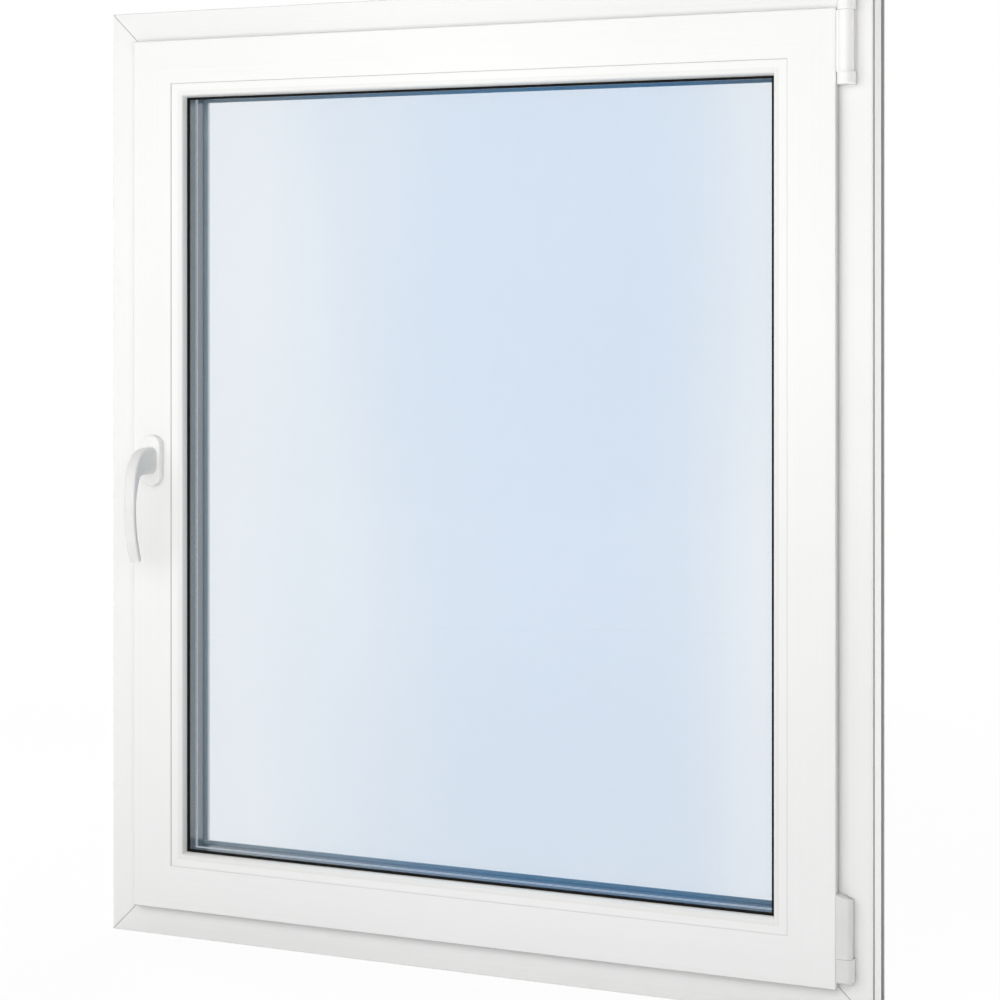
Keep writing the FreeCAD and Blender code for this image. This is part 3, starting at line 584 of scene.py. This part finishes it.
class WindowOperator(bpy.types.Operator):
    """Base of the window's operators."""
    bl_options = {"REGISTER", "UNDO"}

    @property
    def settings(self):
        return bpy.context.scene.window_settings


class WINDOW_OT_bars(WindowOperator):
    """Gives the bars, the beads and the drain covers their plastic."""
    bl_idname = "window.bars"
    bl_label = "Bars and beads"

    def execute(self, context):
        plastic = self.settings.plastic
        for name, along, joints, nodes in BARS:
            finish = extruded_plastic(f"plastic_{name}", plastic, along, *joints)
            for node in nodes:
                finish_node(node, finish)
        moulded = extruded_plastic("plastic_covers", plastic, "X")
        for node in COVERS:
            softened(node, moulded, COVER_EDGE)
        return {"FINISHED"}


class WINDOW_OT_glass(WindowOperator):
    """Gives the panes, spacers, blocks and rubber their finishes."""
    bl_idname = "window.glass"
    bl_label = "Glass unit and seals"

    def execute(self, context):
        glass = self.settings.glass
        panes = {
            "pane_inside": hazed_glass(glass, "pane_inside"),
            "pane_middle": edged_glass(glass),
            "pane_outside": pale_glass(glass, "pane_outside")}
        for node, finish in panes.items():
            finish_node(node, finish)
            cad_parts[node].visible_shadow = False
        for side, (name, times) in SPACERS.items():
            finish_node(f"spacer_{side}", spacer_bar(name, glass, times))
        black = rubber(Finish("black_rubber"), BLACK_RUBBER)
        for node in SEALS:
            finish_node(node, black)
        grey = Finish("grey_rubber")
        # the grey rubber takes on a painted blue reflection towards the hinges
        finish_node("glazing_gasket_outside", rubber(
            grey, grey.mix(painted_sky_blue(grey), rgba(glass.outer), rgba(glass.outer_sky_reflection))))
        blocks = block_plastic("block_plastic")
        for corner in ("bottom_left", "bottom_right", "top_left", "top_right"):
            finish_node(f"glazing_block_{corner}", blocks)
        return {"FINISHED"}


class WINDOW_OT_handle(WindowOperator):
    """Softens the lever and its rosette and gives them their coat of paint."""
    bl_idname = "window.handle"
    bl_label = "Handle"

    def execute(self, context):
        fitting = self.settings.fitting
        softened("handle_lever", coated_metal("lever", fitting), fitting.lever_edge,
                 body="handle", sharp=SHARP_LEVER)
        softened("handle_rosette", coated_metal("rosette", fitting), fitting.edge,
                 sharp=SHARP_FITTING)
        finish_node("handle_spindle", bright_steel("spindle_steel"))
        return {"FINISHED"}


class WINDOW_OT_hinges(WindowOperator):
    """Smooths both hinges and gives them their coat of paint."""
    bl_idname = "window.hinges"
    bl_label = "Hinges"

    def execute(self, context):
        for hinge, nodes in HINGES.items():
            coat = coated_metal(hinge, self.settings.fitting)
            for node in nodes:
                softened(node, coat, 0, sharp=SHARP_FITTING)
        steel = bright_steel("pin_steel")
        for node in PINS:
            finish_node(node, steel)
        return {"FINISHED"}


# Stage

def seen_rays(finish):
    """1 for rays that show the background: straight, mirrored or through glass."""
    straight, mirrored, through = (
        finish.node("ShaderNodeLightPath", output=name)
        for name in ("Is Camera Ray", "Is Glossy Ray", "Is Transmission Ray"))
    return straight.greatest(mirrored).greatest(through)


def add_floor(stage):
    """A floor that is matt to light, and in the view glows brighter away from the window."""
    shape = bmesh.new()
    bmesh.ops.create_grid(shape, x_segments=2, y_segments=2, size=FLOOR_SIZE)
    mesh = bpy.data.meshes.new("floor")
    shape.to_mesh(mesh)
    shape.free()
    floor = bpy.data.objects.new("floor", mesh)
    link(floor)
    white = Finish("white_floor")
    matt = white.node("ShaderNodeBsdfDiffuse", None, {
        "Color": white.mix(white.noise(30), rgba(stage.floor, 0.99), rgba(stage.floor))})
    glow = white.node("ShaderNodeEmission", None, {"Color": (1, 1, 1, 1), "Strength": 1.0})
    distance = white.node(
        "ShaderNodeVectorMath", {"operation": "LENGTH"}, {0: white.place()}, output="Value")
    away = white.fade(distance, *FLOOR_FADE, FLOOR_GLOW, 1.0)
    blend = white.node("ShaderNodeMixShader", None, {
        0: seen_rays(white) * away, 1: matt, 2: glow})
    mesh.materials.append(white.finish_with(blend))


def add_lamp(name, place, target, size, power):
    """A large soft lamp that looks at a point, and shows neither in the view nor in gloss."""
    light = bpy.data.lights.new(name, "AREA")
    light.shape = "RECTANGLE"
    light.size, light.size_y = size
    light.energy = power
    item = bpy.data.objects.new(name, light)
    item.location = place
    item.rotation_euler = (Vector(target) - Vector(place)).to_track_quat("-Z", "Y").to_euler()
    item.visible_camera = False
    item.visible_glossy = False
    link(item)


def add_surroundings(stage):
    """White surroundings, which light matt surfaces less and from the hinge side least."""
    world = bpy.data.worlds.new("white_surroundings")
    room = Finish(world)
    side = room.node("ShaderNodeSeparateXYZ", None, {
        "Vector": room.node("ShaderNodeTexCoord", output="Generated")}, output="X")
    dimmed = room.fade(side, *DIM_FADE, stage.ambient, stage.ambient * DIM_SHARE)
    shown = seen_rays(room)
    background = room.node("ShaderNodeBackground", None, {
        "Color": (1, 1, 1, 1), "Strength": shown + (1 - shown) * dimmed})
    room.finish_with(background, "ShaderNodeOutputWorld")
    bpy.context.scene.world = world


def add_camera(stage):
    """A camera at the photograph's place, which looks level and is shifted down."""
    camera = bpy.data.cameras.new("camera")
    camera.lens = stage.lens
    camera.sensor_width = SENSOR_WIDTH
    camera.shift_y = CAMERA_SHIFT
    view = bpy.data.objects.new("camera", camera)
    view.location = CAMERA_PLACE
    view.rotation_euler = CAMERA_TURN
    link(view)
    bpy.context.scene.camera = view
    bpy.context.scene.view_settings.view_transform = "Standard"


class WINDOW_OT_stage(WindowOperator):
    """Makes the white floor, the lamps, the surroundings and the camera."""
    bl_idname = "window.stage"
    bl_label = "Stage"

    def execute(self, context):
        stage = self.settings.stage
        add_floor(stage)
        for name, setting, place, target, size in LAMPS:
            add_lamp(name, place, target, size, getattr(stage, setting))
        add_surroundings(stage)
        add_camera(stage)
        return {"FINISHED"}


OPERATORS = (
    WINDOW_OT_bars, WINDOW_OT_glass, WINDOW_OT_handle, WINDOW_OT_hinges, WINDOW_OT_stage)


class WINDOW_PT_panel(bpy.types.Panel):
    """Lists the window's pieces and their settings."""
    bl_label = "Window"
    bl_space_type = "VIEW_3D"
    bl_region_type = "UI"
    bl_category = "Window"

    def draw(self, context):
        settings = context.scene.window_settings
        for group in (settings.plastic, settings.fitting, settings.glass, settings.stage):
            box = self.layout.box()
            for name in group.__annotations__:
                box.prop(group, name)
        for operator in OPERATORS:
            self.layout.operator(operator.bl_idname)


CLASSES = (
    PlasticSettings, FittingSettings, GlassSettings, StageSettings, WindowSettings,
    *OPERATORS, WINDOW_PT_panel)


def register():
    for item in CLASSES:
        bpy.utils.register_class(item)
    bpy.types.Scene.window_settings = PointerProperty(type=WindowSettings)


def unregister():
    del bpy.types.Scene.window_settings
    for item in reversed(CLASSES):
        bpy.utils.unregister_class(item)


def main():
    register()
    for operator in OPERATORS:
        group, name = operator.bl_idname.split(".")
        getattr(getattr(bpy.ops, group), name)()


if __name__ == "__main__":
    main()
